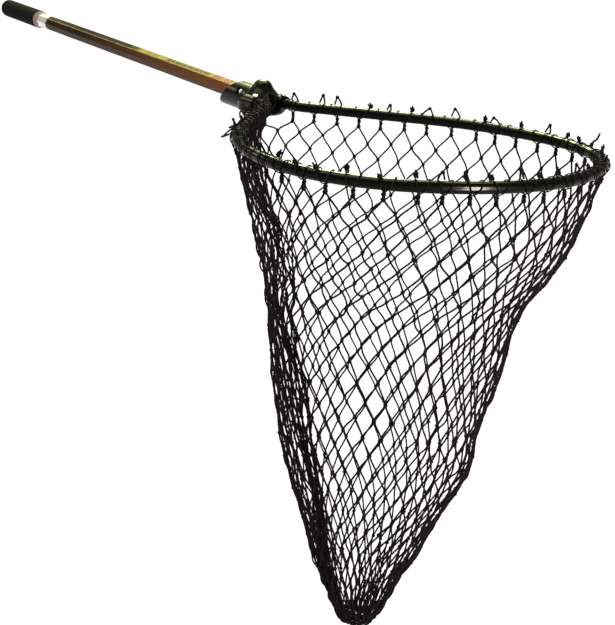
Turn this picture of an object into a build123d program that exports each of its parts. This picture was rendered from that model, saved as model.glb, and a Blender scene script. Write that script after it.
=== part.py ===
# Landing net with a sliding handle. Millimetres, +Z up. The origin is the middle of the grip,
# +X runs along the handle towards the hoop, and the net hangs towards -Z.
from math import atan2, cos, degrees, pi, radians, sin
import os

from build123d import *

os.makedirs("parts", exist_ok=True)

# ---- driving dimensions -------------------------------------------------------------------
HOOP_LENGTH = 584.0        # 23 in, yoke to front, along the tube's centreline
HOOP_HALF_WIDTH = 254.0    # 20 in across the centreline
FRONT_R = 295.0            # the hoop's front arc
CORNER_R = 200.0           # the arc each side of it
HOOP_TILT = 1.7            # degrees the hoop's front stands above the handle's line
HOOP_R = 8.0               # 5/8 in tube
HOOP_BORE_R = 6.4
HANDLE_AF = 27.0           # octagonal tube, across flats, with a corner at the top
HANDLE_WALL = 1.5
GRIP_R = 18.0
GRIP_LENGTH = 172.0
BAG_DEPTH = 762.0          # 30 in
TWINE = 2.4
BAG_WALL = 2.6             # the net's own thickness, knots included
CLEAR = 0.45               # handle to bushing, each side
YOKE_X = 1017.0            # where the hoop's plane and the handle's line meet

HANDLE_REAR = -GRIP_LENGTH / 2 + 12
HANDLE_FRONT = YOKE_X - 60
RING_LENGTH = 14.0         # tapered ring at the front of the grip
BAND_END = 142.0
COLLAR_R = 22.8
COLLAR_DROP = 3.9          # the collar hangs this far below the handle's axis
COLLAR_REAR = YOKE_X - 143  # at the axis; the rim slants at 45 degrees, low side longer
HUB_X = YOKE_X - 61
HUB_TOP = 33.5
HUB_R = 38.5
BORE_AF = 31.4
ARM_Y = 26.5
SOCKET_R = 11.5
SOCKET_END = -34.0         # where the hoop's ends leave the yoke, from YOKE_X
BUTTON_X = YOKE_X - 102
BUTTON_R = 4.0
BUTTON_TOP = 19.0
SPOT_FACE = 18.0
TIES = 40

HOOP = Plane(
    origin=(YOKE_X, 0, 0),
    x_dir=(cos(radians(HOOP_TILT)), 0, sin(radians(HOOP_TILT))),
    z_dir=(-sin(radians(HOOP_TILT)), 0, cos(radians(HOOP_TILT))),
)
# the button's line: radial, through the flat that faces -Y and 22.5 degrees up
BUTTON = Plane(origin=(BUTTON_X, 0, 0), x_dir=(1, 0, 0), z_dir=(0, -cos(pi / 8), sin(pi / 8)))


def station(x):
    return Plane(origin=(x, 0, 0), x_dir=(0, 1, 0), z_dir=(1, 0, 0))


def octagon(across_flats, mode=Mode.ADD):
    RegularPolygon(across_flats / 2, 8, major_radius=False, mode=mode)


def finish(builder, name):
    builder.part.label = name
    export_step(builder.part, f"parts/{name}.step")


# ---- hoop line ----------------------------------------------------------------------------
# Parallel ends inside the yoke, a bend of 45 mm radius to 43 degrees, then the pear shape.
BEND_R = 45.0
ARM_ANGLE = 43.0
bend_x = -20 + BEND_R * sin(radians(ARM_ANGLE))
bend_y = ARM_Y + BEND_R * (1 - cos(radians(ARM_ANGLE)))
def touch(centre, radius, degrees):
    return (centre[0] + radius * cos(radians(degrees)), centre[1] + radius * sin(radians(degrees)))


ARM_TURN = 90 + ARM_ANGLE
# corner arc: touches the front arc from inside and reaches the full half width
corner_c = (
    HOOP_LENGTH - FRONT_R + ((FRONT_R - HOOP_HALF_WIDTH) * (FRONT_R + HOOP_HALF_WIDTH - 2 * CORNER_R)) ** 0.5,
    HOOP_HALF_WIDTH - CORNER_R,
)
front_c = (HOOP_LENGTH - FRONT_R, 0)
front_turn = degrees(atan2(corner_c[1], corner_c[0] - front_c[0]))
# shoulder arc: from the widest point round to the straight arm
reach = sin(radians(ARM_ANGLE)) * (corner_c[0] - bend_x) - cos(radians(ARM_ANGLE)) * (HOOP_HALF_WIDTH - bend_y)
SHOULDER_R = reach / (1 - cos(radians(ARM_ANGLE)))
shoulder_c = (corner_c[0], HOOP_HALF_WIDTH - SHOULDER_R)
arm = (cos(radians(ARM_ANGLE)), sin(radians(ARM_ANGLE)))
bend_c = (-20, ARM_Y + BEND_R)
half = [
    (-62, ARM_Y),
    (-20, ARM_Y),
    touch(bend_c, BEND_R, -90 + ARM_ANGLE / 2),
    (bend_x, bend_y),
    touch(shoulder_c, SHOULDER_R, ARM_TURN),
    touch(shoulder_c, SHOULDER_R, (ARM_TURN + 90) / 2),
    (corner_c[0], HOOP_HALF_WIDTH),
    touch(corner_c, CORNER_R, (90 + front_turn) / 2),
    touch(front_c, FRONT_R, front_turn),
    (HOOP_LENGTH, 0),
]
other = [(x, -y) for x, y in half]
with BuildLine(HOOP) as hoop_line:
    Line(half[0], half[1])
    ThreePointArc(*half[1:4])
    Line(half[3], half[4])
    ThreePointArc(*half[4:7])
    ThreePointArc(*half[6:9])
    ThreePointArc(half[8], half[9], other[8])
    ThreePointArc(other[8], other[7], other[6])
    ThreePointArc(other[6], other[5], other[4])
    Line(other[4], other[3])
    ThreePointArc(other[3], other[2], other[1])
    Line(other[1], other[0])
hoop_wire = hoop_line.wires()[0]

# ---- handle -------------------------------------------------------------------------------
with BuildPart() as handle_tube:
    with BuildSketch(station(HANDLE_REAR)):
        octagon(HANDLE_AF)
        octagon(HANDLE_AF - 2 * HANDLE_WALL, mode=Mode.SUBTRACT)
    extrude(amount=HANDLE_FRONT - HANDLE_REAR)
    with BuildSketch(BUTTON):
        Circle(BUTTON_R + 0.08)
    extrude(amount=HANDLE_AF, mode=Mode.SUBTRACT)
finish(handle_tube, "handle_tube")

with BuildPart() as rear_plug:
    with BuildSketch(station(HANDLE_REAR)):
        octagon(HANDLE_AF - 2 * HANDLE_WALL - 0.1)
    extrude(amount=16)
finish(rear_plug, "handle_rear_plug")

with BuildPart() as front_plug:
    with BuildSketch(station(HANDLE_FRONT - 18)):
        octagon(HANDLE_AF - 2 * HANDLE_WALL - 0.1)
    extrude(amount=18)
    with BuildSketch(station(HANDLE_FRONT)):
        octagon(HANDLE_AF - 0.4)
    extrude(amount=2.2)
    fillet(front_plug.edges().group_by(Axis.X)[-1], 0.8)
    with BuildSketch(station(HANDLE_FRONT - 20)):
        Circle(2.6)
    extrude(amount=30, mode=Mode.SUBTRACT)
finish(front_plug, "handle_front_plug")

with BuildPart() as plug_rivet:
    with BuildSketch(station(HANDLE_FRONT - 17)):
        Circle(2.5)
    extrude(amount=17 + 2.2)
    with BuildSketch(station(HANDLE_FRONT + 2.2)):
        Circle(4.4)
    extrude(amount=1.6)
    fillet(plug_rivet.edges().group_by(Axis.X)[-1], 1.2)
finish(plug_rivet, "handle_plug_rivet")

with BuildPart() as grip:
    with BuildSketch(station(-GRIP_LENGTH / 2 + 14)):
        Circle(GRIP_R)
        octagon(HANDLE_AF + 0.1, mode=Mode.SUBTRACT)
    extrude(amount=GRIP_LENGTH - 14)
    outside = grip.edges().filter_by(GeomType.CIRCLE).group_by(Axis.X)[-1]
    fillet(outside, 2.0)
finish(grip, "grip_sleeve")

with BuildPart() as grip_cap:
    with BuildSketch(station(-GRIP_LENGTH / 2)):
        Circle(GRIP_R)
    extrude(amount=14)
    fillet(grip_cap.edges().group_by(Axis.X)[0], 9.0)
    with BuildSketch(station(HANDLE_REAR - 0.1)):
        octagon(HANDLE_AF + 0.1)
    extrude(amount=10, mode=Mode.SUBTRACT)
finish(grip_cap, "grip_end_cap")

with BuildPart() as front_ring:
    with BuildSketch(station(GRIP_LENGTH / 2 + 0.1)):
        Circle(GRIP_R - 1.2)
    with BuildSketch(station(GRIP_LENGTH / 2 + RING_LENGTH)):
        Circle(GRIP_R - 2.6)
    loft()
    with BuildSketch(station(GRIP_LENGTH / 2)):
        octagon(HANDLE_AF + 0.1)
    extrude(amount=RING_LENGTH + 1, mode=Mode.SUBTRACT)
finish(front_ring, "grip_front_ring")

with BuildPart() as bare_band:
    with BuildSketch(station(GRIP_LENGTH / 2 + RING_LENGTH + 0.1)):
        octagon(HANDLE_AF + 0.9)
        octagon(HANDLE_AF + 0.02, mode=Mode.SUBTRACT)
    extrude(amount=BAND_END - GRIP_LENGTH / 2 - RING_LENGTH - 0.1)
finish(bare_band, "handle_bare_band")


# printed film on the flat just above the button's: (start, end) along the handle, by colour
def film(name, spans, width):
    flat = Plane(origin=(0, 0, 0), x_dir=(1, 0, 0), z_dir=(0, -sin(pi / 8), cos(pi / 8)))
    with BuildPart() as made:
        for start, end in spans:
            with BuildSketch(flat.offset(HANDLE_AF / 2 + 0.02)):
                with Locations(((start + end) / 2, 0)):
                    Rectangle(end - start, width)
            extrude(amount=0.1)
    finish(made, name)


film("film_gold", [(540, 650), (800.5, 810.5)], 9.6)
film("film_dark", [(650.5, 800)], 9.6)
film("film_red", [(811, 868)], 9.6)

# ---- snap button --------------------------------------------------------------------------
with BuildPart() as snap_button:
    with BuildSketch(BUTTON.offset(HANDLE_AF / 2 - HANDLE_WALL - 3.2)):
        Circle(BUTTON_R)
    extrude(amount=BUTTON_TOP - (HANDLE_AF / 2 - HANDLE_WALL - 3.2))
    top = snap_button.faces().sort_by(SortBy.DISTANCE)[-1]
    fillet(top.edges(), 2.4)
finish(snap_button, "snap_button")

with BuildPart() as button_spring:
    # a bent strip inside the tube, seen along the handle's side
    side = Plane(origin=(BUTTON_X, 0, 0), x_dir=(-1, 0, 0), z_dir=(0, sin(pi / 8), cos(pi / 8)))
    with BuildSketch(side):
        with BuildLine():
            strip = Polyline((-7, 8.2), (34, 6.6), (46, 0), (34, -8.6), (-4, -11.3))
            offset(strip, amount=0.45, side=Side.BOTH)
        make_face()
    extrude(amount=3.0, both=True)
finish(button_spring, "button_spring")

# ---- yoke ---------------------------------------------------------------------------------
with BuildPart() as yoke:
    # collar with a slanted rear rim
    with BuildSketch(station(COLLAR_REAR - 30)):
        with Locations((0, -COLLAR_DROP)):
            Circle(COLLAR_R)
    extrude(amount=HUB_X - COLLAR_REAR + 30)
    with BuildSketch(Plane.XZ):
        with BuildLine():
            Polyline(
                (COLLAR_REAR - 40, -40), (COLLAR_REAR - 21, -21), (COLLAR_REAR + 21, 21),
                (COLLAR_REAR + 40, 40), (COLLAR_REAR - 60, 40), (COLLAR_REAR - 60, -40), close=True,
            )
        make_face()
    extrude(amount=40, both=True, mode=Mode.SUBTRACT)
    # bell-shaped hub
    with BuildSketch(Plane(origin=(HUB_X, 0, 0), x_dir=(1, 0, 0), z_dir=(0, -1, 0))):
        with BuildLine():
            Line((0, -19), (HUB_R - 4, -19))
            Line((HUB_R - 4, -19), (HUB_R, -15))
            Line((HUB_R, -15), (HUB_R, -3))
            Spline((HUB_R, -3), (27.0, 9.5), (19.8, 18), (15.2, 24.5), tangents=[(-0.8, 0.5), (-0.45, 1)])
            Spline((15.2, 24.5), (10.5, HUB_TOP - 3.2), (0, HUB_TOP), tangents=[(-0.45, 1), (-1, 0)])
            Line((0, HUB_TOP), (0, -19))
        make_face()
    revolve(axis=Axis((HUB_X, 0, 0), (0, 0, 1)))
    # sockets round the hoop's two ends
    for y in (-ARM_Y, ARM_Y):
        with BuildSketch(Plane(origin=HOOP.from_local_coords((-66, y, 0)), z_dir=HOOP.x_dir)):
            Circle(SOCKET_R)
        extrude(amount=SOCKET_END + 66)
    # floor that ties the sockets to the hub, round the handle's way
    with BuildSketch(Plane.XY.offset(-18)):
        with Locations((YOKE_X - 51, 0)):
            Rectangle(26, 2 * ARM_Y)
    extrude(amount=24)
    # way for the handle, with a flat-sided bore
    with BuildSketch(station(COLLAR_REAR - 60)):
        octagon(BORE_AF)
    extrude(amount=300, mode=Mode.SUBTRACT)
    # hole and spot face for the button
    with BuildSketch(BUTTON):
        Circle(BUTTON_R + 0.35)
    extrude(amount=40, mode=Mode.SUBTRACT)
    with BuildSketch(BUTTON.offset(SPOT_FACE)):
        Circle(7.5)
    extrude(amount=12, mode=Mode.SUBTRACT)
    # bores for the hoop's ends, and the screws that hold them
    for y in (-ARM_Y, ARM_Y):
        with Locations((YOKE_X - 40, y, 11.0)):
            Cylinder(5.2, 12, align=(Align.CENTER, Align.CENTER, Align.MIN), mode=Mode.SUBTRACT)
        with Locations((YOKE_X - 40, y, -7.0)):
            Cylinder(2.15, 30, align=(Align.CENTER, Align.CENTER, Align.MIN), mode=Mode.SUBTRACT)
    with BuildSketch(Plane(origin=hoop_wire @ 0, z_dir=hoop_wire % 0)):
        Circle(HOOP_R + 0.05)
    sweep(path=hoop_wire, mode=Mode.SUBTRACT)
finish(yoke, "yoke_hub")


def bushing(name, x0, x1):
    with BuildPart() as made:
        with BuildSketch(station(x0)):
            octagon(BORE_AF - 0.1)
            octagon(HANDLE_AF + 2 * CLEAR, mode=Mode.SUBTRACT)
        extrude(amount=x1 - x0)
    finish(made, name)


bushing("bushing_rear", COLLAR_REAR + 20, COLLAR_REAR + 32)
bushing("bushing_front", YOKE_X - 56, YOKE_X - 42)

for name, y in (("hoop_screw_near", -ARM_Y), ("hoop_screw_far", ARM_Y)):
    with BuildPart() as screw:
        with Locations((YOKE_X - 40, y, -6.8)):
            Cylinder(2.1, 17.8, align=(Align.CENTER, Align.CENTER, Align.MIN))
        with Locations((YOKE_X - 40, y, 11.0)):
            Cylinder(4.6, 2.8, align=(Align.CENTER, Align.CENTER, Align.MIN))
        fillet(screw.edges().group_by(Axis.Z)[-1], 1.4)
    finish(screw, name)

# ---- hoop ---------------------------------------------------------------------------------
with BuildPart() as hoop_tube:
    with BuildSketch(Plane(origin=hoop_wire @ 0, z_dir=hoop_wire % 0)):
        Circle(HOOP_R)
        Circle(HOOP_BORE_R, mode=Mode.SUBTRACT)
    sweep(path=hoop_wire)
    for y in (-ARM_Y, ARM_Y):
        with Locations((YOKE_X - 40, y, 0)):
            Cylinder(2.3, 40, mode=Mode.SUBTRACT)
finish(hoop_tube, "hoop_tube")

for name, y in (("hoop_plug_near", -ARM_Y), ("hoop_plug_far", ARM_Y)):
    with BuildPart() as plug:
        with BuildSketch(Plane(origin=HOOP.from_local_coords((-62, y, 0)), z_dir=HOOP.x_dir)):
            Circle(HOOP_BORE_R - 0.05)
        extrude(amount=12)
    finish(plug, name)

# twine whipped round the near arm, from just outside the yoke
WHIP_END = 178.0
with BuildLine(HOOP) as seat:
    Line((-23.5, -ARM_Y), (-20, -ARM_Y))
    ThreePointArc(other[1], other[2], other[3])
    Line(other[3], (bend_x + WHIP_END * arm[0], -bend_y - WHIP_END * arm[1]))
seat_wire = seat.wires()[0]
with BuildPart() as whipping:
    with BuildSketch(Plane(origin=seat_wire @ 0, z_dir=seat_wire % 0)):
        Circle(HOOP_R + 2.0)
        Circle(HOOP_R + 0.5, mode=Mode.SUBTRACT)
    sweep(path=seat_wire)
finish(whipping, "whipping_near")

# rings of twine that tie the net to the hoop
with BuildPart() as ties:
    for i in range(TIES):
        u = 0.050 + 0.790 * i / (TIES - 1)
        at = hoop_wire @ u
        along = hoop_wire % u
        with Locations(Location(Plane(origin=at, z_dir=along))):
            Torus(HOOP_R + 1.9, 1.2)
finish(ties, "net_ties")


# ---- net bag ------------------------------------------------------------------------------
# The mouth follows the hoop; lower down the section turns to an ellipse that draws in to a tip.
# Below the yoke the bunched meshes hang straight down, which gives the section a beak.
# depth, ellipse centre x, half length, half width, share of the ellipse, beak
LEVELS = [
    (12.0, YOKE_X + 312, 272, 254, 0.0, 26),
    (60.0, YOKE_X + 335, 260, 236, 0.35, 40),
    (120.0, YOKE_X + 340, 240, 212, 0.75, 72),
    (190.0, YOKE_X + 308, 212, 184, 1.0, 84),
    (300.0, YOKE_X + 311, 191, 166, 1.0, 108),
    (450.0, YOKE_X + 318, 160, 139, 1.0, 64),
    (600.0, YOKE_X + 318, 98, 85, 1.0, 30),
    (700.0, YOKE_X + 321, 50, 43, 1.0, 22),
    (748.0, YOKE_X + 325, 22, 20, 1.0, 6),
    (BAG_DEPTH, YOKE_X + 325, 15, 13, 1.0, 0),
]
mouth = [(44, 0), (72, 66), (150, 151), (243, 219), (342, 248), (437, 237), (517, 184), (566, 96), (580, 0)]
mouth_round = mouth + [(x, -y) for x, y in reversed(mouth[1:-1])]


def section(level, inset):
    depth, cx, a, b, share, beak = level
    lift = sin(radians(HOOP_TILT))
    points = []
    for x, y in mouth_round:
        mx, my = x - 312, y
        r = (mx * mx + my * my) ** 0.5
        c, s = mx / r, my / r
        k = 1 / ((c / a) ** 2 + (s / b) ** 2) ** 0.5
        px = (1 - share) * (YOKE_X + x) + share * (cx + k * c) - inset * c
        px -= beak * max(0.0, -c) ** 20
        py = (1 - share) * y + share * k * s - inset * s
        points.append((px, py, lift * (1 - share) * (px - YOKE_X) - depth))
    return points


def bag_solid(levels, inset):
    with BuildPart() as made:
        for level in levels:
            points = section(level, inset)
            with BuildSketch(level_plane(points)):
                with BuildLine():
                    flat = [level_plane(points).to_local_coords(Vector(*p)) for p in points]
                    Spline(*[(p.X, p.Y) for p in flat], periodic=True)
                make_face()
        loft(ruled=True)
    return made.part


def level_plane(points):
    rear, front = points[0], points[8]
    along = (front[0] - rear[0], 0, front[2] - rear[2])
    return Plane(origin=rear, x_dir=along, z_dir=(-along[2], 0, along[0]))


outer = bag_solid(LEVELS, 0.0)
inner = bag_solid(LEVELS[:-1], BAG_WALL)
with BuildPart() as net_bag:
    add(outer)
    add(inner, mode=Mode.SUBTRACT)
    # the handle slides out over the net through this notch
    with Locations((YOKE_X + 40, 0, -16)):
        Box(140, 38, 60, align=(Align.CENTER, Align.CENTER, Align.MIN), mode=Mode.SUBTRACT)
finish(net_bag, "net_bag")

# the draw cord's ring follows the bag's section 26 mm above the tip, 5 mm outside it
ring_points = section((BAG_DEPTH - 26, YOKE_X + 324, 29, 25.8, 1.0, 10), -5.4)
with BuildPart() as gather:
    with BuildLine() as ring:
        Spline(*ring_points, periodic=True)
    with BuildSketch(Plane(origin=ring.line @ 0, z_dir=ring.line % 0)):
        Circle(2.0)
    sweep(path=ring.line)
finish(gather, "net_gather")
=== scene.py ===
# Landing net: the looks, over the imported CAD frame. Metres.
import math

import bpy
import numpy as np
from mathutils import Matrix, Vector


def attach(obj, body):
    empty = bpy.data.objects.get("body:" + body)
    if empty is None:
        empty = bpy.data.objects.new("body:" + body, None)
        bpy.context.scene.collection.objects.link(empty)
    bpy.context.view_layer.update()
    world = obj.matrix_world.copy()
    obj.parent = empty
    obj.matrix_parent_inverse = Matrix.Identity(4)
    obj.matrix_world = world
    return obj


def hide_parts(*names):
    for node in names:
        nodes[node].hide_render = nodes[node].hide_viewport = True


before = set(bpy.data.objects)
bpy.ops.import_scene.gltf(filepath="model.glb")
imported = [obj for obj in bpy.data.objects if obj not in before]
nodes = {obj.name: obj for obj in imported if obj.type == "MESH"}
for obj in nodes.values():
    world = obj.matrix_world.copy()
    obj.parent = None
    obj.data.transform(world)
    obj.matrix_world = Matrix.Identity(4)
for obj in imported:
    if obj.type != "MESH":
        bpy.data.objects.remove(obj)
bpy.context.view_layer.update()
rng = np.random.default_rng(7)

X0 = 1.017                      # yoke: where the hoop's plane meets the handle's line
TILT = math.radians(1.7)
HOOP_R = 0.008
TWINE_R = 0.00140
BAR = 0.0312                    # knot to knot along one leg of a mesh
ROWS = 28                       # rows of meshes from the mouth to the tip
FIRST_KNOT = 0.0185             # the first row of knots hangs this far below the hoop
LOWEST_ROW = 0.742              # depth of the last row before the net settles
BOTTOM = -0.7460                # no knot hangs lower
SWING = (0.0060, 0.0066)        # how far the tip swings, in X and Y
STEPS = 700                     # of the relaxation
GRAVITY = 0.00018               # drop of a free knot in one step
HANDLE_WAY = (0.021, 0.565, -0.020)     # half width, reach past the yoke and height kept free
WHIP_START, WHIP_TURNS = 0.029, 118     # from the hoop's end, metres and turns
WHIP_LENGTH = 0.042 + 0.045 * math.radians(43) + 0.177 - WHIP_START
TAN_TURNS = {33, 34, 35, 37, 38, 42, 43, 44, 49, 50, 56, 63, 84}    # whipping turns of worn twine
FLOOR_Z = -1.35
CAMERA_AT = (2.8434, -1.2264, 0.4094)
CAMERA_RIGHT = (0.55808, 0.82581, 0.08111)
CAMERA_FORWARD = (-0.76953, 0.55164, -0.32173)
EX = np.array([math.cos(TILT), 0, math.sin(TILT)])
EY = np.array([0.0, 1.0, 0.0])
EZ = np.array([-math.sin(TILT), 0, math.cos(TILT)])
ORIGIN = np.array([X0, 0, 0])


def unit(v):
    return v / np.maximum(np.linalg.norm(v, axis=-1, keepdims=True), 1e-12)


def smooth(a, b, t):
    t = np.clip((t - a) / (b - a), 0, 1)
    return t * t * (3 - 2 * t)


# ---- the hoop's line, as in the CAD ---------------------------------------------------------
def arc(c, r, a, b, n):
    t = np.radians(np.linspace(a, b, n))
    return np.stack([c[0] + r * np.cos(t), c[1] + r * np.sin(t)], 1)


def hoop_line():
    arm_y, bend_r, ang = 26.5, 45.0, 43.0
    s, c = math.sin(math.radians(ang)), math.cos(math.radians(ang))
    bend = (-20 + bend_r * s, arm_y + bend_r * (1 - c))
    corner = (584 - 295 + ((295 - 254) * (295 + 254 - 400)) ** 0.5, 54.0)
    turn = math.degrees(math.atan2(corner[1], corner[0] - 289))
    r = (s * (corner[0] - bend[0]) - c * (254 - bend[1])) / (1 - c)
    shoulder = arc((corner[0], 254 - r), r, 90 + ang, 90, 60)
    half = np.concatenate([
        np.linspace((-62, arm_y), (-20, arm_y), 12)[:-1],
        arc((-20, arm_y + bend_r), bend_r, -90, -90 + ang, 24)[:-1],
        np.linspace(bend, shoulder[0], 40)[:-1],
        shoulder[:-1],
        arc(corner, 200, 90, turn, 60)[:-1],
        arc((289, 0), 295, turn, 0, 40),
    ])
    back = half[::-1][1:] * (1, -1)
    return np.concatenate([half, back]) / 1000


LINE = hoop_line()
RUN = np.concatenate([[0], np.cumsum(np.linalg.norm(np.diff(LINE, axis=0), axis=1))])
TOTAL = RUN[-1]


def hoop_xy(s):
    return np.stack([np.interp(s, RUN, LINE[:, 0]), np.interp(s, RUN, LINE[:, 1])], -1)


def lift(xy, z=0.0):
    xy = np.asarray(xy, float)
    return ORIGIN + xy[..., :1] * EX + xy[..., 1:2] * EY + np.asarray(z, float)[..., None] * EZ


def hoop_frame(s):
    """Point, tangent and outward direction of the hoop's centreline at arc length s."""
    p = hoop_xy(s)
    t = unit(hoop_xy(s + 5e-4) - hoop_xy(s - 5e-4))
    out = np.stack([-t[..., 1], t[..., 0]], -1)
    to3 = lambda v: v[..., :1] * EX + v[..., 1:2] * EY
    return lift(p), to3(t), to3(out)


# ---- mesh building --------------------------------------------------------------------------
def make_object(name, parts, materials, body="head"):
    """parts: list of (verts, quads, uvs per quad corner, material index)."""
    verts, faces, uvs, mats, base = [], [], [], [], 0
    for v, f, uv, m in parts:
        verts.append(v)
        faces.append(f + base)
        uvs.append(uv.reshape(-1, 2))
        mats.append(np.full(len(f), m))
        base += len(v)
    verts, faces = np.concatenate(verts), np.concatenate(faces)
    uvs, mats = np.concatenate(uvs), np.concatenate(mats)
    me = bpy.data.meshes.new(name)
    me.vertices.add(len(verts))
    me.vertices.foreach_set("co", verts.astype(np.float32).ravel())
    me.loops.add(faces.size)
    me.loops.foreach_set("vertex_index", faces.astype(np.int32).ravel())
    me.polygons.add(len(faces))
    me.polygons.foreach_set("loop_start", np.arange(0, faces.size, 4, dtype=np.int32))
    me.update(calc_edges=True)
    me.validate()
    me.uv_layers.new(name="along")
    me.uv_layers["along"].data.foreach_set("uv", uvs.astype(np.float32).ravel())
    for m in materials:
        me.materials.append(m)
    me.polygons.foreach_set("material_index", mats.astype(np.int32))
    me.polygons.foreach_set("use_smooth", np.ones(len(faces), dtype=bool))
    me.update()
    ob = bpy.data.objects.new(name, me)
    bpy.context.scene.collection.objects.link(ob)
    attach(ob, body)
    return ob


def skin(paths, n1, n2, radius, sides, closed, mat=0):
    """Tubes over paths (B,S,3) with frame vectors n1, n2 (B,S,3)."""
    B, S, _ = paths.shape
    a = np.linspace(0, 2 * np.pi, sides, endpoint=False)
    r = np.broadcast_to(np.asarray(radius, float), (B, S))
    ring = (paths[:, :, None, :]
            + r[:, :, None, None] * (np.cos(a)[None, None, :, None] * n1[:, :, None, :]
                                     + np.sin(a)[None, None, :, None] * n2[:, :, None, :]))
    verts = ring.reshape(-1, 3)
    idx = np.arange(B * S * sides).reshape(B, S, sides)
    if closed:
        lo, hi = idx, np.roll(idx, -1, 1)
    else:
        lo, hi = idx[:, :-1], idx[:, 1:]
    q = np.stack([lo, np.roll(lo, -1, 2), np.roll(hi, -1, 2), hi], -1)
    seg = np.linalg.norm(np.diff(paths, axis=1), axis=2)
    run = np.concatenate([np.zeros((B, 1)), np.cumsum(seg, 1)], 1)
    if closed:
        run = np.concatenate([run, run[:, -1:] + seg.mean(1, keepdims=True)], 1)
    u0, u1 = run[:, :q.shape[1]], run[:, 1:q.shape[1] + 1]
    v0 = np.arange(sides) / sides
    v1 = v0 + 1 / sides
    U = np.stack(np.broadcast_arrays(u0[:, :, None], u0[:, :, None], u1[:, :, None], u1[:, :, None]
                                     ), -1) * np.ones((1, 1, sides, 1))
    V = np.stack([v0, v1, v1, v0], -1)[None, None] * np.ones(q.shape[:3] + (1,))
    uv = np.stack([U * 100, V], -1)
    return verts, q.reshape(-1, 4), uv.reshape(-1, 4, 2), mat


def batch_tubes(paths, radius, sides=6, closed=False, mat=0):
    """Many short paths of equal point count, each with a fixed reference direction."""
    if closed:
        t = unit(np.roll(paths, -1, 1) - np.roll(paths, 1, 1))
    else:
        t = unit(np.gradient(paths, axis=1))
    if closed:
        chord = np.tile([0.3, 0.5, 0.8], (len(paths), 1))
    else:
        chord = unit(paths[:, -1] - paths[:, 0])
    ref = np.where(np.abs(chord[:, 2:3]) < 0.8, np.array([[0, 0, 1.0]]), np.array([[1.0, 0, 0]]))
    n1 = unit(np.cross(t, ref[:, None, :]))
    return skin(paths, n1, np.cross(t, n1), radius, sides, closed, mat)


def carried(path):
    """Frame vectors carried along one path without twist."""
    t = unit(np.gradient(path, axis=0))
    n = np.empty_like(path)
    ref = np.eye(3)[np.argmin(np.abs(t[0]))]
    n[0] = unit(np.cross(t[0], ref))
    for i in range(1, len(path)):
        v = n[i - 1] - t[i] * (n[i - 1] @ t[i])
        n[i] = v / np.linalg.norm(v)
    return n, np.cross(t, n)


def one_tube(path, radius, sides=6, mat=0, taper=False):
    path = np.asarray(path, float)
    n1, n2 = carried(path)
    r = np.full(len(path), radius)
    if taper:
        r[0] *= 0.25
        r[-1] *= 0.25
    return skin(path[None], n1[None], n2[None], r[None], sides, False, mat)


def spline(points, n=16):
    """Catmull-Rom through the points."""
    p = np.asarray(points, float)
    p = np.concatenate([[2 * p[0] - p[1]], p, [2 * p[-1] - p[-2]]])
    out = []
    per = max(2, n // (len(p) - 3))
    for i in range(1, len(p) - 2):
        t = np.linspace(0, 1, per, endpoint=False)[:, None]
        a, b, c, d = p[i - 1], p[i], p[i + 1], p[i + 2]
        out.append(0.5 * (2 * b + (c - a) * t + (2 * a - 5 * b + 4 * c - d) * t ** 2
                          + (3 * b - a - 3 * c + d) * t ** 3))
    return np.concatenate(out + [p[-2:-1]])


def knot_paths(centres, up, side, size, points=18):
    """A small overhand wind of twine at each centre."""
    t = np.linspace(0, 2 * np.pi, points, endpoint=False)
    big, small = 1.0, 0.52
    x = (big + small * np.cos(3 * t)) * np.cos(2 * t)
    y = (big + small * np.cos(3 * t)) * np.sin(2 * t)
    z = small * 1.5 * np.sin(3 * t)
    up, side = unit(up), unit(side)
    nrm = unit(np.cross(side, up))
    side = np.cross(up, nrm)
    size = np.broadcast_to(size, (len(centres),))[:, None, None]
    return centres[:, None, :] + size * (
        x[None, :, None] * side[:, None, :] + 1.15 * y[None, :, None] * up[:, None, :]
        + z[None, :, None] * nrm[:, None, :])


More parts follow.
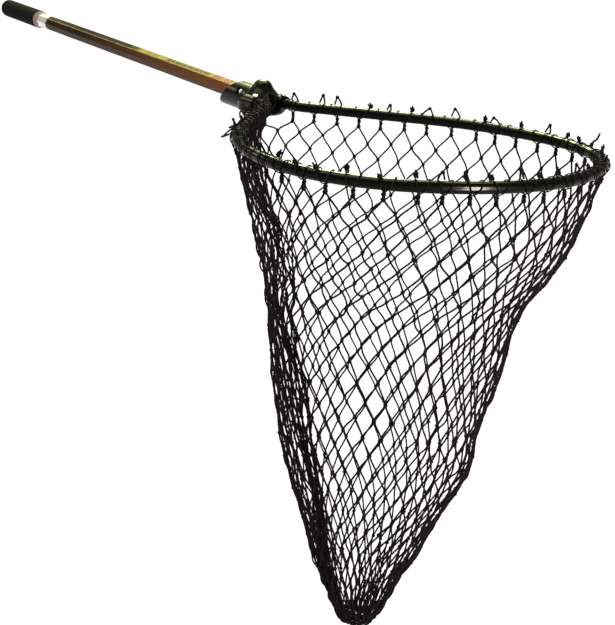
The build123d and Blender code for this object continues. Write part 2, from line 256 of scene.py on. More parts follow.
# ---- materials ------------------------------------------------------------------------------
class Mat:
    def __init__(self, name):
        self.m = bpy.data.materials.new(name)
        self.m.use_nodes = True
        self.nt = self.m.node_tree
        self.b = self.nt.nodes["Principled BSDF"]
        self.tc = self.nt.nodes.new("ShaderNodeTexCoord")

    def node(self, kind, **props):
        n = self.nt.nodes.new("ShaderNode" + kind)
        for k, v in props.items():
            setattr(n, k, v)
        return n

    def link(self, a, b):
        self.nt.links.new(a, b)

    def coords(self, scale=(1, 1, 1)):
        mp = self.node("Mapping")
        mp.inputs["Scale"].default_value = scale
        self.link(self.tc.outputs["Object"], mp.inputs["Vector"])
        return mp.outputs["Vector"]

    def noise(self, scale, detail=3.0, stretch=(1, 1, 1), rough=0.55):
        n = self.node("TexNoise")
        n.inputs["Scale"].default_value = scale
        n.inputs["Detail"].default_value = detail
        n.inputs["Roughness"].default_value = rough
        self.link(self.coords(stretch), n.inputs["Vector"])
        return n.outputs["Fac"]

    def ramp(self, fac, stops):
        r = self.node("ValToRGB")
        el = r.color_ramp.elements
        while len(el) < len(stops):
            el.new(0.5)
        for e, (pos, col) in zip(el, sorted(stops)):
            e.position = pos
            e.color = (*col, 1) if isinstance(col, tuple) else (col, col, col, 1)
        self.link(fac, r.inputs["Fac"])
        return r.outputs["Color"]

    def math(self, op, a, b=None, c=None):
        n = self.node("Math", operation=op)
        for i, v in enumerate((a, b, c)):
            if v is None:
                continue
            if isinstance(v, (int, float)):
                n.inputs[i].default_value = v
            else:
                self.link(v, n.inputs[i])
        return n.outputs[0]

    def mix(self, fac, a, b, blend="MIX"):
        n = self.node("Mix", data_type="RGBA", blend_type=blend)
        # a Mix node's factor is its first socket, and its colours are the 7th and 8th
        for i, v in ((0, fac), (6, a), (7, b)):
            if isinstance(v, tuple):
                n.inputs[i].default_value = (*v, 1)
            elif isinstance(v, (int, float)):
                n.inputs[i].default_value = v
            else:
                self.link(v, n.inputs[i])
        return n.outputs[2]

    def bump(self, height, strength, distance):
        n = self.node("Bump")
        n.inputs["Strength"].default_value = strength
        n.inputs["Distance"].default_value = distance
        self.link(height, n.inputs["Height"])
        self.link(n.outputs["Normal"], self.b.inputs["Normal"])

    def set(self, **values):
        for k, v in values.items():
            s = self.b.inputs[k.replace("_", " ")]
            if isinstance(v, tuple):
                s.default_value = (*v, 1) if len(v) == 3 else v
            elif isinstance(v, (int, float)):
                s.default_value = v
            else:
                self.link(v, s)
        return self


def between(m, x, a, b):
    """1 where a < x < b."""
    return m.math("MULTIPLY", m.math("GREATER_THAN", x, a), m.math("LESS_THAN", x, b))


def twine_material(name, dark, light):
    m = Mat(name)
    uv = m.node("SeparateXYZ")
    m.link(m.tc.outputs["UV"], uv.inputs[0])
    # three strands: one turn in about 7 mm; U is in 1/100 m
    lay = m.math("SINE", m.math("ADD", m.math("MULTIPLY", uv.outputs[1], 6 * math.pi),
                                m.math("MULTIPLY", uv.outputs[0], 6 * math.pi / 0.7)))
    lay = m.math("MULTIPLY_ADD", lay, 0.5, 0.5)
    fuzz = m.noise(2600, 2)
    patch = m.noise(38, 3)
    col = m.mix(m.ramp(patch, [(0.35, 0.0), (0.7, 1.0)]), dark, light)
    # painted shade: the grooves between the three strands are pulled towards near-black
    groove_shade = m.math("MULTIPLY", m.math("SUBTRACT", 1.0, lay), 0.55)
    col = m.mix(groove_shade, col, (0.0015, 0.0014, 0.0016))
    m.set(Base_Color=col, Roughness=m.ramp(fuzz, [(0.3, 0.55), (0.7, 0.8)]))
    m.b.inputs["Specular IOR Level"].default_value = 0.038
    m.b.inputs["Specular Tint"].default_value = (1.0, 0.72, 0.85, 1)
    m.b.inputs["Sheen Weight"].default_value = 0.01
    m.b.inputs["Sheen Roughness"].default_value = 0.5
    m.bump(m.math("ADD", lay, m.math("MULTIPLY", fuzz, 0.35)), 0.7, 0.0004)
    return m.m


def metal(name, colour, rough, scratch=0.06, stretch=(18, 700, 700), metallic=1.0):
    m = Mat(name)
    grain = m.noise(1.0, 4, stretch)
    blotch = m.noise(45, 4)
    col = m.mix(m.ramp(grain, [(0.3, 0.0), (0.75, 1.0)]), colour, tuple(c * 0.72 for c in colour))
    col = m.mix(m.ramp(blotch, [(0.45, 0.0), (0.8, 0.5)]), col, tuple(c * 0.5 for c in colour))
    m.set(Base_Color=col, Metallic=metallic,
          Roughness=m.ramp(grain, [(0.25, rough), (0.8, min(rough + 0.2, 1.0))]))
    m.bump(grain, scratch, 0.0003)
    return m.m


# -- handle tube: anodised, browner on the sides, printed fade on the upper flats
def handle_material():
    m = Mat("anodised_tube")
    pos = m.node("SeparateXYZ")
    m.link(m.tc.outputs["Object"], pos.inputs[0])
    x, y, z = pos.outputs
    angle = m.math("ARCTAN2", z, m.math("MULTIPLY", y, -1.0))          # 0 faces -Y, 90 deg is up
    upper = between(m, angle, math.radians(45), math.radians(135))
    along = m.math("DIVIDE", m.math("SUBTRACT", x, 0.069), 0.80)
    grain = m.noise(1.0, 4, (14, 900, 900))
    blotch = m.noise(16, 4, (1, 3, 3))
    wobble = m.math("MULTIPLY_ADD", blotch, 0.05, m.math("ADD", along, -0.025))
    top = m.ramp(wobble, [(0.0, (0.110, 0.080, 0.045)), (0.16, (0.060, 0.042, 0.024)),
                          (0.30, (0.018, 0.012, 0.007)), (0.55, (0.010, 0.007, 0.004)),
                          (0.60, (0.14, 0.10, 0.02)), (0.64, (0.30, 0.235, 0.045))])
    # the side flats' brown is the tube's own; the ramp from dark near the grip to bright
    # orange-brown towards the yoke is painted light, a reflection lighting the side
    side = m.ramp(wobble, [(0.0, (0.019, 0.011, 0.006)), (0.30, (0.013, 0.006, 0.003)),
                           (0.7, (0.080, 0.031, 0.009)), (1.0, (0.145, 0.042, 0.011))])
    col = m.mix(upper, side, top)
    # painted shade: the downward-facing lower flats are pulled halfway towards a fixed dark brown
    low = between(m, angle, math.radians(-95), math.radians(0))
    col = m.mix(m.math("MULTIPLY", low, 0.5), col, (0.050, 0.020, 0.014))
    # painted highlight: a light tan line along the corner between the side and the upper flat,
    # broken up by noise
    off = m.math("ABSOLUTE", m.math("SUBTRACT", angle, math.radians(45)))
    corner_highlight = m.math("MULTIPLY", m.math("LESS_THAN", off, math.radians(3.2)),
                  m.ramp(m.noise(60, 3, (1, 6, 6)), [(0.25, 0.35), (0.6, 1.0)]))
    col = m.mix(m.math("MULTIPLY", corner_highlight, 0.8), col, (0.52, 0.36, 0.10))
    streak = m.math("MULTIPLY", m.ramp(grain, [(0.45, 0.0), (0.9, 1.0)]), 0.35)
    col = m.mix(streak, col, (0.02, 0.012, 0.008))
    m.set(Base_Color=col, Metallic=0.1, Roughness=m.ramp(grain, [(0.2, 0.34), (0.8, 0.52)]))
    m.b.inputs["Specular IOR Level"].default_value = 0.06
    m.b.inputs["Specular Tint"].default_value = (1.0, 0.75, 0.45, 1)
    m.bump(grain, 0.08, 0.0003)
    return m.m


def foam_material():
    m = Mat("closed_cell_foam")
    cell = m.node("TexVoronoi")
    cell.inputs["Scale"].default_value = 950
    m.link(m.coords(), cell.inputs["Vector"])
    lump = m.noise(120, 4)
    col = m.mix(m.ramp(lump, [(0.35, 0.0), (0.75, 1.0)]),
                (0.0012, 0.0016, 0.0012), (0.0040, 0.0046, 0.0036))
    # painted shade: the pits at the foam's cell centres are pulled towards near-black
    col = m.mix(m.ramp(cell.outputs["Distance"], [(0.0, 0.6), (0.3, 0.0)]),
                col, (0.002, 0.002, 0.002))
    m.set(Base_Color=col, Roughness=m.ramp(lump, [(0.2, 0.72), (0.8, 0.9)]))
    m.b.inputs["Specular IOR Level"].default_value = 0.06
    m.bump(m.math("ADD", cell.outputs["Distance"], m.math("MULTIPLY", lump, 0.8)), 0.6, 0.0006)
    return m.m


def plastic_material(name, dark, light, rough=0.3, grit=1400):
    m = Mat(name)
    fine = m.noise(grit, 3)
    patch = m.noise(26, 4)
    scuff = m.noise(1.0, 4, (90, 600, 260))
    col = m.mix(m.ramp(patch, [(0.3, 0.0), (0.75, 1.0)]), dark, light)
    m.set(Base_Color=col)
    worn = (min(rough + 0.22, 1),) * 3
    m.link(m.mix(m.ramp(scuff, [(0.55, 0.0), (0.72, 1.0)]), (rough,) * 3, worn),
           m.b.inputs["Roughness"])
    m.b.inputs["Specular IOR Level"].default_value = 0.2
    m.bump(m.math("ADD", fine, m.math("MULTIPLY", patch, 0.6)), 0.12, 0.0005)
    return m.m


def yoke_material():
    """Glossy black moulding whose reflections come out olive."""
    m = Mat("yoke_moulding")
    patch = m.noise(22, 4)
    scuff = m.noise(1.0, 4, (60, 420, 260))
    col = m.mix(m.ramp(patch, [(0.3, 0.0), (0.75, 1.0)]),
                (0.0012, 0.0014, 0.0011), (0.0032, 0.0030, 0.0022))
    col = m.mix(m.ramp(scuff, [(0.62, 0.0), (0.78, 0.6)]), col, (0.010, 0.008, 0.006))
    m.set(Base_Color=col, Roughness=m.ramp(scuff, [(0.3, 0.20), (0.75, 0.34)]))
    m.b.inputs["Specular IOR Level"].default_value = 0.10
    m.b.inputs["Specular Tint"].default_value = (0.92, 0.92, 0.66, 1)
    m.bump(m.math("ADD", m.noise(1300, 2), patch), 0.04, 0.0003)
    return m.m


def hoop_material():
    m = Mat("enamelled_hoop")
    patch = m.noise(14, 4)
    peel = m.noise(420, 2)
    rub = m.noise(70, 5, (1, 1, 1), 0.7)
    col = m.mix(m.ramp(patch, [(0.35, 0.0), (0.7, 1.0)]),
                (0.0012, 0.0016, 0.0010), (0.0032, 0.0040, 0.0018))
    col = m.mix(m.ramp(rub, [(0.66, 0.0), (0.74, 0.6)]), col, (0.012, 0.010, 0.006))
    m.set(Base_Color=col, Roughness=m.ramp(rub, [(0.3, 0.14), (0.75, 0.26)]))
    m.b.inputs["Specular IOR Level"].default_value = 0.085
    m.b.inputs["Specular Tint"].default_value = (0.95, 0.95, 0.82, 1)
    m.bump(peel, 0.02, 0.0004)
    return m.m


def film_material(name, base, mark=None):
    """Printed film: flat ink with rub marks; mark draws plain blocks or slanting ticks."""
    m = Mat(name)
    pos = m.node("SeparateXYZ")
    m.link(m.tc.outputs["Object"], pos.inputs[0])
    grain = m.noise(1.0, 4, (30, 1100, 1100))
    patch = m.noise(60, 4)
    col = m.mix(m.ramp(patch, [(0.35, 0.0), (0.75, 1.0)]), base, tuple(c * 0.62 for c in base))
    if mark == "blocks":
        # plain bars of uneven length along the film's middle
        v = m.math("SUBTRACT", m.math("MULTIPLY", pos.outputs[1], -0.9239),
                   m.math("MULTIPLY", pos.outputs[2], 0.3827))
        inside = m.math("LESS_THAN", m.math("ABSOLUTE", m.math("SUBTRACT", v, 0.0005)), 0.0030)
        cells = m.math("GREATER_THAN", m.noise(1.0, 0, (150, 0, 0)), 0.40)
        col = m.mix(m.math("MULTIPLY", inside, cells), col, (0.024, 0.016, 0.007))
    if mark == "ticks":
        slant = m.math("ADD", pos.outputs[0], m.math("MULTIPLY", pos.outputs[2], 2.2))
        tick = m.math("LESS_THAN", m.math("PINGPONG", slant, 0.004), 0.0011)
        inked = between(m, pos.outputs[0], 0.835, 0.862)
        col = m.mix(m.math("MULTIPLY", tick, inked), col, (0.42, 0.27, 0.06))
    m.set(Base_Color=col, Roughness=m.ramp(grain, [(0.2, 0.28), (0.8, 0.5)]))
    m.b.inputs["Specular IOR Level"].default_value = 0.12
    m.bump(grain, 0.05, 0.0002)
    return m.m


twine = twine_material("knotted_twine", (0.0036, 0.0010, 0.0026), (0.0190, 0.0080, 0.0120))
twine_dusty = twine_material("twine_dusty_brown", (0.0085, 0.0055, 0.0035), (0.020, 0.014, 0.008))
twine_brown = twine_material("twine_worn_tan", (0.075, 0.045, 0.008), (0.16, 0.105, 0.022))
black_plastic = plastic_material("black_moulding", (0.006, 0.006, 0.006), (0.014, 0.014, 0.013))
steel = metal("plated_steel", (0.80, 0.74, 0.72), 0.22, 0.1, (400, 400, 400))
finishes = {
    "handle_tube": handle_material(),
    "handle_bare_band": metal("bare_aluminium", (0.91, 0.90, 0.90), 0.30),
    "grip_sleeve": foam_material(),
    # painted highlight: the pink of the grip's front ring stands in for light on the black grip's
    # lit end face
    "grip_front_ring": plastic_material("grip_ring_painted_highlight", (0.20, 0.115, 0.115), (0.34, 0.22, 0.22),
                                        0.45, 1100),
    "yoke_hub": yoke_material(),
    "hoop_tube": hoop_material(),
    "film_gold": film_material("ink_gold", (0.42, 0.31, 0.035)),
    "film_dark": film_material("ink_gold_with_blocks", (0.36, 0.255, 0.03), "blocks"),
    "film_red": film_material("ink_red", (0.33, 0.020, 0.006), "ticks"),
}
finishes["grip_end_cap"] = finishes["grip_sleeve"]
finishes["handle_plug_rivet"] = metal("blackened_rivet", (0.02, 0.018, 0.018), 0.4, 0.1,
                                      (400, 400, 400), 0.6)
for name in ("snap_button", "button_spring", "hoop_screw_near", "hoop_screw_far"):
    finishes[name] = steel
for name in ("handle_rear_plug", "handle_front_plug", "bushing_rear", "bushing_front",
             "hoop_plug_near", "hoop_plug_far"):
    finishes[name] = black_plastic
for name, ob in nodes.items():
    finish = finishes.get(name, twine)
    if not ob.material_slots:
        ob.data.materials.append(finish)
    for s in ob.material_slots:
        s.material = finish

# ---- the net's knots ------------------------------------------------------------------------
WHIPPED = 0.857                 # from here to the yoke the near arm is whipped
TIE_U = np.concatenate([np.linspace(0.030, 0.848, 40), np.linspace(0.862, 0.966, 10)])
N = len(TIE_U)
TIE_U[1:39] += rng.normal(0, 0.0016, 38)
TIE_S = TIE_U * TOTAL
tie_p, _, tie_o = hoop_frame(TIE_S)
mouth = hoop_xy(TIE_S)

# depth, ellipse centre from the yoke, half length, half width, share of the ellipse, beak
LEVELS = np.array([
    (0, 312, 272, 254, 0.0, 20), (12, 312, 272, 254, 0.0, 26), (60, 335, 260, 236, 0.35, 40),
    (120, 340, 240, 212, 0.75, 72), (190, 308, 212, 184, 1.0, 84), (300, 311, 191, 166, 1.0, 108),
    (450, 318, 160, 139, 1.0, 64), (600, 318, 98, 85, 1.0, 30), (700, 321, 50, 43, 1.0, 22),
    (748, 325, 22, 20, 1.0, 6), (762, 325, 15, 13, 1.0, 0)]) / [1000, 1000, 1000, 1000, 1, 1000]


def surface(xy, turn, depth, inset):
    """A point of the bag: from the mouth point xy to the ellipse in direction turn."""
    cx, a, b, share, beak = (np.interp(depth, LEVELS[:, 0], LEVELS[:, k]) for k in (1, 2, 3, 4, 5))
    c, s = np.cos(turn), np.sin(turn)
    k = 1 / np.sqrt((c / a) ** 2 + (s / b) ** 2) - inset
    px = (1 - share) * (X0 + xy[..., 0]) + share * (X0 + cx + k * c)
    px = px - beak * np.maximum(0, -c) ** 20
    py = (1 - share) * xy[..., 1] + share * k * s
    pz = math.sin(TILT) * (1 - share) * (px - X0) - depth
    return np.stack([px, py, pz], -1)


# how close the columns stand lower down: bunched below the yoke, and a little at the front left
num = np.arange(N)
gap = np.ones(N)
gap *= 1 - 0.92 * smooth(N - 13.5, N - 8.5, num)
gap *= 0.12 + 0.88 * smooth(0.5, 4.5, num)
gap *= 1 - 0.25 * np.exp(-((num - 16.0) / 2.5) ** 2)
gap *= 1 - 0.40 * np.exp(-((num - 22.5) / 2.6) ** 2)
gap_run = np.concatenate([[0], np.cumsum(gap)])
middle = np.interp(N - 4.0, np.arange(N + 1), gap_run)
low_turn = -np.pi - 2 * np.pi * (gap_run[:-1] - middle) / gap_run[-1]
mouth_turn = np.unwrap(np.arctan2(mouth[:, 1], mouth[:, 0] - 0.312))
mouth_turn -= 2 * np.pi * round((mouth_turn.mean() - low_turn.mean()) / (2 * np.pi))

cols = np.arange(N)


def at_column(values, c, wrap=0.0):
    """Linear interpolation of per-column values at fractional columns, round the ring."""
    full = np.concatenate([values, values[:1] + wrap])
    i = np.floor(c).astype(int) % N
    f = (c - np.floor(c))
    v = full[i] * (1 - f) + full[i + 1] * f
    return v


wander = rng.normal(0, 1, (ROWS + 1, N))
for _ in range(5):
    wander = (wander + np.roll(wander, 1, 1) + np.roll(wander, -1, 1)) / 3
    wander[1:] = 0.65 * wander[1:] + 0.35 * wander[:-1]
wander /= wander.std()
puff = rng.normal(0, 1, (ROWS + 1, N))
for _ in range(3):
    puff = (puff + np.roll(puff, 1, 1) + np.roll(puff, -1, 1)) / 3
    puff[1:] = 0.5 * puff[1:] + 0.5 * puff[:-1]
puff /= puff.std()

share_down = np.arange(ROWS + 1) / ROWS
pitch = np.interp(np.arange(ROWS), [0, 6, 14, 22, ROWS], [25.0, 24.6, 26.0, 28.5, 29.5])
fallen = np.concatenate([[0], np.cumsum(pitch)]) / pitch.sum()
depth = FIRST_KNOT + fallen * (LOWEST_ROW - FIRST_KNOT)
target = np.zeros((ROWS + 1, N, 3))
for j in range(ROWS + 1):
    c = cols + 0.5 * (j % 2)
    xy = np.stack([at_column(mouth[:, 0], c), at_column(mouth[:, 1], c)], -1)
    mt = at_column(mouth_turn, c, -2 * np.pi)
    lt = at_column(low_turn, c, -2 * np.pi)
    g = at_column(gap, c)
    t = (mt + (lt - mt) * smooth(0.02, 0.24, depth[j])
         + np.radians(1.4) * wander[j] * smooth(0.03, 0.2, depth[j]))
    bunch = 1 - smooth(0.2, 0.8, g)
    pleat = 0.011 * bunch * np.sin(c * 2 * np.pi / 2.9 + 3 * share_down[j])
    slackness = smooth(0.05, 0.2, depth[j]) * (1 - smooth(0.6, 0.74, depth[j]))
    inset = 0.003 + bunch * 0.010 * slackness + (pleat + 0.004 * puff[j]) * slackness
    target[j] = surface(xy, t, depth[j], np.maximum(inset, 0.0015))
target[0] = tie_p - EZ * (FIRST_KNOT + rng.uniform(-0.0015, 0.002, N))[:, None]
for k, low_by in ((0, 0.006), (-1, 0.006), (-2, 0.003)):    # the crotch under the yoke hangs lower
    target[0, k] -= EZ * low_by

x = target.copy()
hold = np.ones((ROWS + 1, N, 1))
hold[0] = 0


even, odd = np.arange(0, ROWS, 2), np.arange(1, ROWS, 2)
families = []
for js, shift in ((even, 0), (even, -1), (odd, 0), (odd, 1)):
    J, I = np.meshgrid(js, np.arange(N), indexing="ij")
    families.append((J, I, J + 1, (I + shift) % N))

pull = np.array([0.030, 0.030, 0.010])
for _ in range(STEPS):
    x[1:, :, 2] -= GRAVITY
    x[1:] += pull * (target[1:] - x[1:])
    for J, I, J2, I2 in families:
        a, b = x[J, I], x[J2, I2]
        d = b - a
        length = np.linalg.norm(d, axis=-1, keepdims=True)
        want = np.clip(length, 0.55 * BAR, BAR)
        w1, w2 = hold[J, I], hold[J2, I2]
        fix = (length - want) / np.maximum(length, 1e-9) * d / np.maximum(w1 + w2, 1e-9)
        x[J, I] = a + w1 * fix
        x[J2, I2] = b - w2 * fix
    # the handle's way over the net stays open
    way = (np.abs(x[1:, :, 1]) < HANDLE_WAY[0]) & (x[1:, :, 0] < X0 + HANDLE_WAY[1])
    x[1:, :, 2] = np.where(way, np.minimum(x[1:, :, 2], HANDLE_WAY[2]), x[1:, :, 2])
x[1:] += rng.normal(0, 0.0007, x[1:].shape)
x[:, :, 2] = np.maximum(x[:, :, 2], BOTTOM)
# the lower part swings a little towards the near arm
swing = smooth(0.45, 0.72, -x[:, :, 2])
x[:, :, 0] -= SWING[0] * swing
x[:, :, 1] -= SWING[1] * swing

# ---- twine between the knots ----------------------------------------------------------------
down = np.zeros_like(x)
for j in range(ROWS + 1):
    left, right_ = (cols - (1 - j % 2)) % N, (cols + j % 2) % N
    c_up = x[j - 1][left] + x[j - 1][right_] if j > 0 else 2 * (x[j] + EZ * 0.02)
    c_dn = x[j + 1][left] + x[j + 1][right_] if j < ROWS else 2 * (x[j] - EZ * 0.02)
    down[j] = unit(c_dn - c_up)
centre = np.array([X0 + 0.318, 0, 0])
outward = unit((x - centre) * [1, 1, 0] + 1e-9)

paths, rows_of = [], []
ts = np.linspace(0, 1, 6)
h00, h10 = 2 * ts ** 3 - 3 * ts ** 2 + 1, ts ** 3 - 2 * ts ** 2 + ts
h01, h11 = -2 * ts ** 3 + 3 * ts ** 2, ts ** 3 - ts ** 2
for J, I, J2, I2 in families:
    a, b = x[J, I].reshape(-1, 3), x[J2, I2].reshape(-1, 3)
    d = b - a
    c = np.linalg.norm(d, axis=1, keepdims=True)
    ta = unit(unit(d) + 0.55 * down[J, I].reshape(-1, 3))
    tb = unit(unit(d) + 0.55 * down[J2, I2].reshape(-1, 3))
    p = (h00[None, :, None] * a[:, None] + h10[None, :, None] * (ta * c)[:, None]
         + h01[None, :, None] * b[:, None] + h11[None, :, None] * (tb * c)[:, None])
    slack = np.clip(BAR - c[:, 0], 0, 0.006)
    bow = np.sqrt(np.maximum(0.375 * c[:, 0] * slack, 0)) * rng.uniform(0.2, 0.9, len(a))
    way = unit(rng.normal(0, 1, (len(a), 3)) + 0.8 * outward[J, I].reshape(-1, 3) - [0, 0, 0.4])
    way -= unit(d) * (way * unit(d)).sum(1, keepdims=True)
    p += (4 * ts * (1 - ts))[None, :, None] * (bow[:, None] * way)[:, None]
    paths.append(p)
    rows_of.append(J.ravel())
paths, rows_of = np.concatenate(paths), np.concatenate(rows_of)
halfway = ROWS // 2
for name, pick in (("net_twine_upper", rows_of < halfway), ("net_twine_lower", rows_of >= halfway)):
    made = make_object(name, [batch_tubes(paths[pick], TWINE_R, 6)], [twine])
    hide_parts("net_bag")

flat = x[1:].reshape(-1, 3)
side = np.roll(x[1:], -1, 1) - np.roll(x[1:], 1, 1)
turned = unit(side.reshape(-1, 3)) + rng.normal(0, 0.35, flat.shape)
size = 0.00145 * rng.uniform(0.88, 1.15, len(flat))
kp = knot_paths(flat, down[1:].reshape(-1, 3) + rng.normal(0, 0.2, flat.shape), turned, size)
row_id = np.repeat(np.arange(1, ROWS + 1), N)
for name, pick in (("net_knots_upper", row_id <= halfway), ("net_knots_lower", row_id > halfway)):
    made = make_object(name, [batch_tubes(kp[pick], 0.00112, 5, closed=True)], [twine])
    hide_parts("net_bag")

# ---- hitches on the hoop --------------------------------------------------------------------
# hoop_frame's outward direction may point in: its sign is fixed once, at the front of the hoop
sign_out = -1.0 if tie_o[N // 2] @ EX < 0 else 1.0


def tie_axes(s):
    p, t, o = hoop_frame(np.array([s]))
    return p[0], t[0], sign_out * o[0]


def strand(s, angles, shifts, radii, n=26):
    """A strand round the hoop through (angle, shift, radius) stations; 0 deg is outward, 90 up."""
    a = np.asarray(angles, float)
    k = np.linspace(0, 1, len(a))
    kk = np.linspace(0, 1, n)
    ang = np.radians(np.interp(kk, k, a))[:, None]
    sh, rr = np.interp(kk, k, shifts), np.interp(kk, k, radii)[:, None]
    p, t, o = hoop_frame(s + sh)
    return p + rr * (np.cos(ang) * sign_out * o + np.sin(ang) * EZ)


RH = HOOP_R + 0.00125
parts, knots_c, knots_u, knots_s, knots_z = [], [], [], [], []
for i in range(N):
    s = TIE_S[i]
    p, t, o = tie_axes(s)
    low = x[0, i]
    whipped = TIE_U[i] > WHIPPED
    r = RH + (0.0012 if whipped else 0.0)
    one, two = rng.uniform(0.005, 0.011), rng.uniform(0.010, 0.018)
    if rng.uniform() < 0.5:
        one, two = two, one
    spread = two
    join = p - EZ * (r + 0.0028)
    if whipped:
        spread = rng.uniform(0.003, 0.006)
        loop = strand(s, (-84, 0, 90, 180, 264),
                      (0, spread * 0.5, spread, spread * 0.5, 0), (r,) * 5, 30)
        parts.append(one_tube(np.concatenate([[join], loop, [join]]), TWINE_R, 6))
    for sgn in (() if whipped else (-1, 1)):
        top = -one if sgn < 0 else two
        loop = strand(s, (-84, 0, 90, 180, 264), (0, top * 0.62, top, top * 0.7, 0),
                      (r + 0.0004, r, r, r, r + 0.0004), 30)
        path = np.concatenate([[join - EZ * 0.001], loop, [join - EZ * 0.001]])
        parts.append(one_tube(path, TWINE_R * 0.62, 6, mat=1))
    # doubled legs from the hitch down to the first knot
    for sgn in (-1, 1):
        leg = spline([join + t * sgn * 0.0012, (join + low) / 2 + o * sgn * 0.0016, low], 8)
        parts.append(one_tube(leg, TWINE_R, 6))
    knots_c += [join - EZ * 0.0008, low + EZ * 0.0022, low - EZ * 0.0012]
    knots_u += [EZ, EZ, EZ]
    knots_s += [t, o, t]
    knots_z += [0.0016, 0.0018, 0.0018]
    # loose end on top: a short knotted stub, an arch, or a long tag
    kind = rng.uniform()
    out = rng.uniform(-0.5, 0.7)
    a0 = 90 - math.degrees(math.atan(out))
    base = strand(s, (a0, a0), (spread,) * 2, (r, r), 2)[0]
    upv = unit(EZ + out * o)
    if whipped and kind < 0.62:
        continue
    if kind < 0.52:
        h = rng.uniform(0.004, 0.007)
        tip = base + upv * (h + rng.uniform(0.003, 0.007)) + t * rng.normal(0, 0.0022)
        parts.append(one_tube(spline([base, base + upv * h * 0.6 + t * 0.001, tip], 10),
                              TWINE_R, 6, taper=True))
        parts.append(one_tube(spline([base - t * 0.003, base + upv * h * 0.7 - t * 0.002,
                                      tip - t * 0.0028 - upv * 0.003], 10), TWINE_R, 6, taper=True))
        knots_c.append(base + upv * h * 0.8)
        knots_u.append(upv)
        knots_s.append(t)
        knots_z.append(0.0019)
    elif kind < 0.90:
        w, h = rng.uniform(0.006, 0.018), rng.uniform(0.008, 0.0125)
        b2 = strand(s, (a0, a0), (spread - w,) * 2, (r, r), 2)[0]
        skew = rng.uniform(0.15, 0.85)
        peak = base * (1 - skew) + b2 * skew + upv * h
        parts.append(one_tube(spline([base, base * 0.55 + peak * 0.45 + upv * 0.0016, peak,
                                      b2 * 0.55 + peak * 0.45 + upv * 0.0012, b2], 24), TWINE_R, 6))
        knots_c.append(peak)
        knots_u.append(t)
        knots_s.append(upv)
        knots_z.append(0.0013)
    else:
        tip = base + upv * rng.uniform(0.016, 0.024) + t * rng.uniform(-0.012, 0.012)
        tag = spline([base, base + upv * 0.006, (base + tip) / 2 + o * 0.002, tip], 14)
        parts.append(one_tube(tag, TWINE_R * 1.1, 6, taper=True))
        knots_c.append(base + upv * 0.002)
        knots_u.append(upv)
        knots_s.append(t)
        knots_z.append(0.0019)
hk = knot_paths(np.array(knots_c), np.array(knots_u), np.array(knots_s), np.array(knots_z))
parts.append(batch_tubes(hk, 0.0012, 5, closed=True))
hitches = make_object("net_hitches", parts, [twine, twine_dusty])
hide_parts("net_ties")

# ---- whipping on the hoop's near arm ---------------------------------------------------------
turns, n = WHIP_TURNS, 20
k = np.linspace(0, 1, turns * n + 1)
s = TOTAL - (WHIP_START + WHIP_LENGTH * k)
p, t, o = hoop_frame(s)
drift = rng.normal(0, 1, turns + 2)
wob = 0.00010 * np.interp(k * turns, np.arange(turns + 2), drift)
tilt_ = 0.0011 * np.sin(k * turns / 5.3) * np.sin(2 * np.pi * turns * k)
p, t, o = hoop_frame(s + tilt_)
ang = (2 * np.pi * turns * k)[:, None]
path = p + (HOOP_R + 0.0006 + wob)[:, None] * (np.cos(ang) * o + np.sin(ang) * EZ)
n1 = path - p
tt = unit(np.gradient(path, axis=0))
n1 = unit(n1 - tt * (n1 * tt).sum(1, keepdims=True))
n2 = np.cross(tt, n1)
parts = []
for q in range(turns):
    sl = slice(q * n, (q + 1) * n + 1)
    parts.append(skin(path[None, sl], n1[None, sl], n2[None, sl], 0.00098, 6, False,
                      int(q in TAN_TURNS)))
for at in (0.30, 0.52, 0.71, 0.88):       # slanting turns laid over the first ones
    m = s[int(at * (len(k) - 1))]
    lean_ = rng.uniform(0.003, 0.008) * rng.choice([-1, 1])
    r2 = HOOP_R + 0.0022
    parts.append(one_tube(strand(m, (-130, 0, 130, 260), (-lean_, 0, lean_, -lean_), (r2,) * 4, 34),
                          TWINE_R, 6, taper=True))
# slack strands that stand off the arm's outer side and run down into the net
for a_s, b_s, offset, drop in ((0.118, 0.168, 0.011, 0.004), (0.190, 0.262, 0.014, -0.006),
                               (0.225, 0.300, 0.017, -0.014), (0.150, 0.205, 0.009, 0.010)):
    q = np.linspace(0, 1, 6)
    pp, _, oo = hoop_frame(TOTAL - (a_s + (b_s - a_s) * q))
    hump = np.sin(np.pi * q)[:, None]
    line = (pp + sign_out * oo * (HOOP_R + 0.003 + offset * hump)
            + EZ * (drop * hump + 0.001 * rng.normal(0, 1, (6, 1))))
    parts.append(one_tube(spline(line, 40), TWINE_R, 6, taper=True))
w = make_object("arm_whipping_near", parts, [twine, twine_brown])
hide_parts("whipping_near")

# ---- gathered tip ---------------------------------------------------------------------------
tip = x[ROWS].mean(0)
parts = []
for lap in range(3):
    k = np.linspace(0, 2 * np.pi, 80)
    rr = 0.0180 - 0.002 * lap
    base = np.stack([tip[0] + rr * np.cos(k + lap) * 1.1, tip[1] + rr * np.sin(k + lap),
                     tip[2] + 0.004 * lap - 0.002 + 0.0012 * np.sin(5 * k + lap)], 1)
    parts.append(one_tube(base, TWINE_R * 1.15, 6))
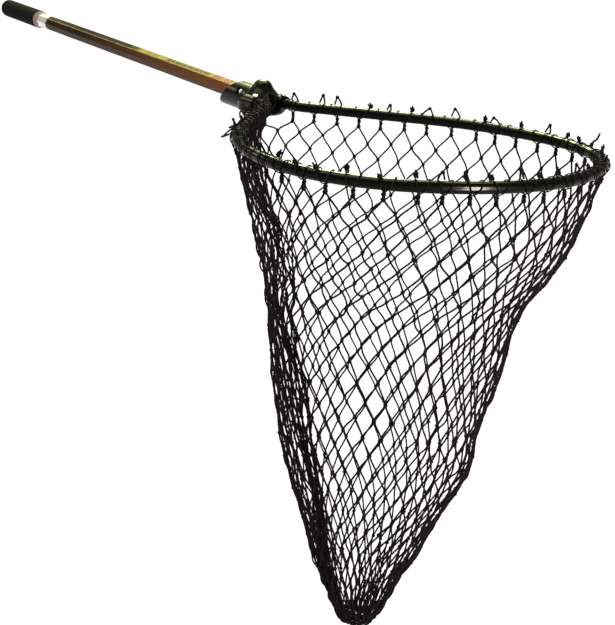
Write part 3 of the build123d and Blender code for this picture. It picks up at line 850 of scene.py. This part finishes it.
# the last row's strands are drawn in to one knot, which closes the bottom
for i in range(0, N, 2):
    start = x[ROWS, i]
    inner = tip + unit(start - tip) * 0.0035 - EZ * 0.0025
    belly = (start + inner) / 2 - EZ * rng.uniform(0.001, 0.003)
    parts.append(one_tube(spline([start, belly, inner], 8), TWINE_R, 6))
tail = spline([tip + [0.001, 0, -0.002], tip + [0.006, -0.004, 0.006], tip + [0.004, -0.001, 0.014],
               tip + [-0.003, 0.003, 0.020]], 20)
parts.append(one_tube(tail, TWINE_R * 1.1, 6, taper=True))
tk = knot_paths(tip + np.array([[0.0, 0, -0.001], [0.004, 0.002, 0.003], [-0.004, -0.003, 0.003]]),
                np.array([[0, 0, 1.0]] * 3), np.array([[1.0, 0, 0]] * 3),
                np.array([0.0028, 0.0024, 0.0024]))
parts.append(batch_tubes(tk, 0.0013, 6, closed=True))
gather = make_object("net_tip_gather", parts, [twine])
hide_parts("net_gather")

# ---- stage ----------------------------------------------------------------------------------
bpy.ops.mesh.primitive_plane_add(size=90, location=(0.8, 0, FLOOR_Z))
floor = bpy.context.object
floor.name = "studio_floor"
fm = Mat("studio_floor_paper")
paper = fm.noise(6, 3)
fm.set(Base_Color=fm.ramp(paper, [(0.3, 0.93), (0.7, 0.96)]), Roughness=0.9)
floor.data.materials.append(fm.m)

world = bpy.data.worlds.new("studio")
bpy.context.scene.world = world
world.use_nodes = True
world.node_tree.nodes["Background"].inputs["Color"].default_value = (1, 1, 1, 1)
world.node_tree.nodes["Background"].inputs["Strength"].default_value = 0.30


def softbox(name, at, look, size, power, colour):
    """A rectangular light that only shows in reflections."""
    data = bpy.data.lights.new(name, "AREA")
    data.shape = "RECTANGLE"
    data.size, data.size_y = size
    data.energy = power
    data.color = colour
    ob = bpy.data.objects.new(name, data)
    bpy.context.scene.collection.objects.link(ob)
    ob.location = at
    ob.rotation_mode = "QUATERNION"
    ob.rotation_quaternion = (Vector(look) - Vector(at)).to_track_quat("-Z", "Y")
    ob.visible_camera = False
    ob.visible_diffuse = False


sun_data = bpy.data.lights.new("overhead_light", "SUN")
sun_data.energy = 3.0
sun_data.angle = math.radians(50)
sun = bpy.data.objects.new("overhead_light", sun_data)
sun.rotation_euler = (math.radians(12), math.radians(-14), 0)
bpy.context.scene.collection.objects.link(sun)
softbox("key_softbox", (0.5, 0.9, 2.3), (1.25, 0, 0), (1.7, 0.8), 55, (0.80, 1.0, 0.42))
softbox("front_softbox", (3.57, 0.12, 0.05), (1.59, -0.09, 0.02), (0.34, 2.0),
        380, (1.0, 0.84, 0.83))
softbox("rear_softbox_low", (-0.55, 0.36, 0.90), (0.91, 0, 0), (0.55, 0.40), 1.9, (1.0, 0.95, 0.45))
softbox("rear_softbox_side", (-0.60, -0.75, 0.66), (0.91, 0, 0), (0.30, 0.24),
        2.6, (1.0, 0.95, 0.50))
softbox("rear_softbox_high", (-0.35, 0.86, 1.36), (1.41, 0.25, 0), (0.80, 0.90), 120,
        (0.80, 1.0, 0.42))

cam_data = bpy.data.cameras.new("photo_camera")
cam_data.lens = 80.64
cam_data.sensor_width = 36.0
cam_data.sensor_fit = "AUTO"
cam_data.clip_start, cam_data.clip_end = 0.05, 50
camera = bpy.data.objects.new("photo_camera", cam_data)
bpy.context.scene.collection.objects.link(camera)
right = Vector(CAMERA_RIGHT).normalized()
forward = Vector(CAMERA_FORWARD).normalized()
up = right.cross(forward).normalized()
right = forward.cross(up).normalized()
rot = Matrix((right, up, -forward)).transposed()
camera.matrix_world = Matrix.Translation(CAMERA_AT) @ rot.to_4x4()
bpy.context.scene.camera = camera
bpy.context.scene.view_settings.view_transform = "Standard"
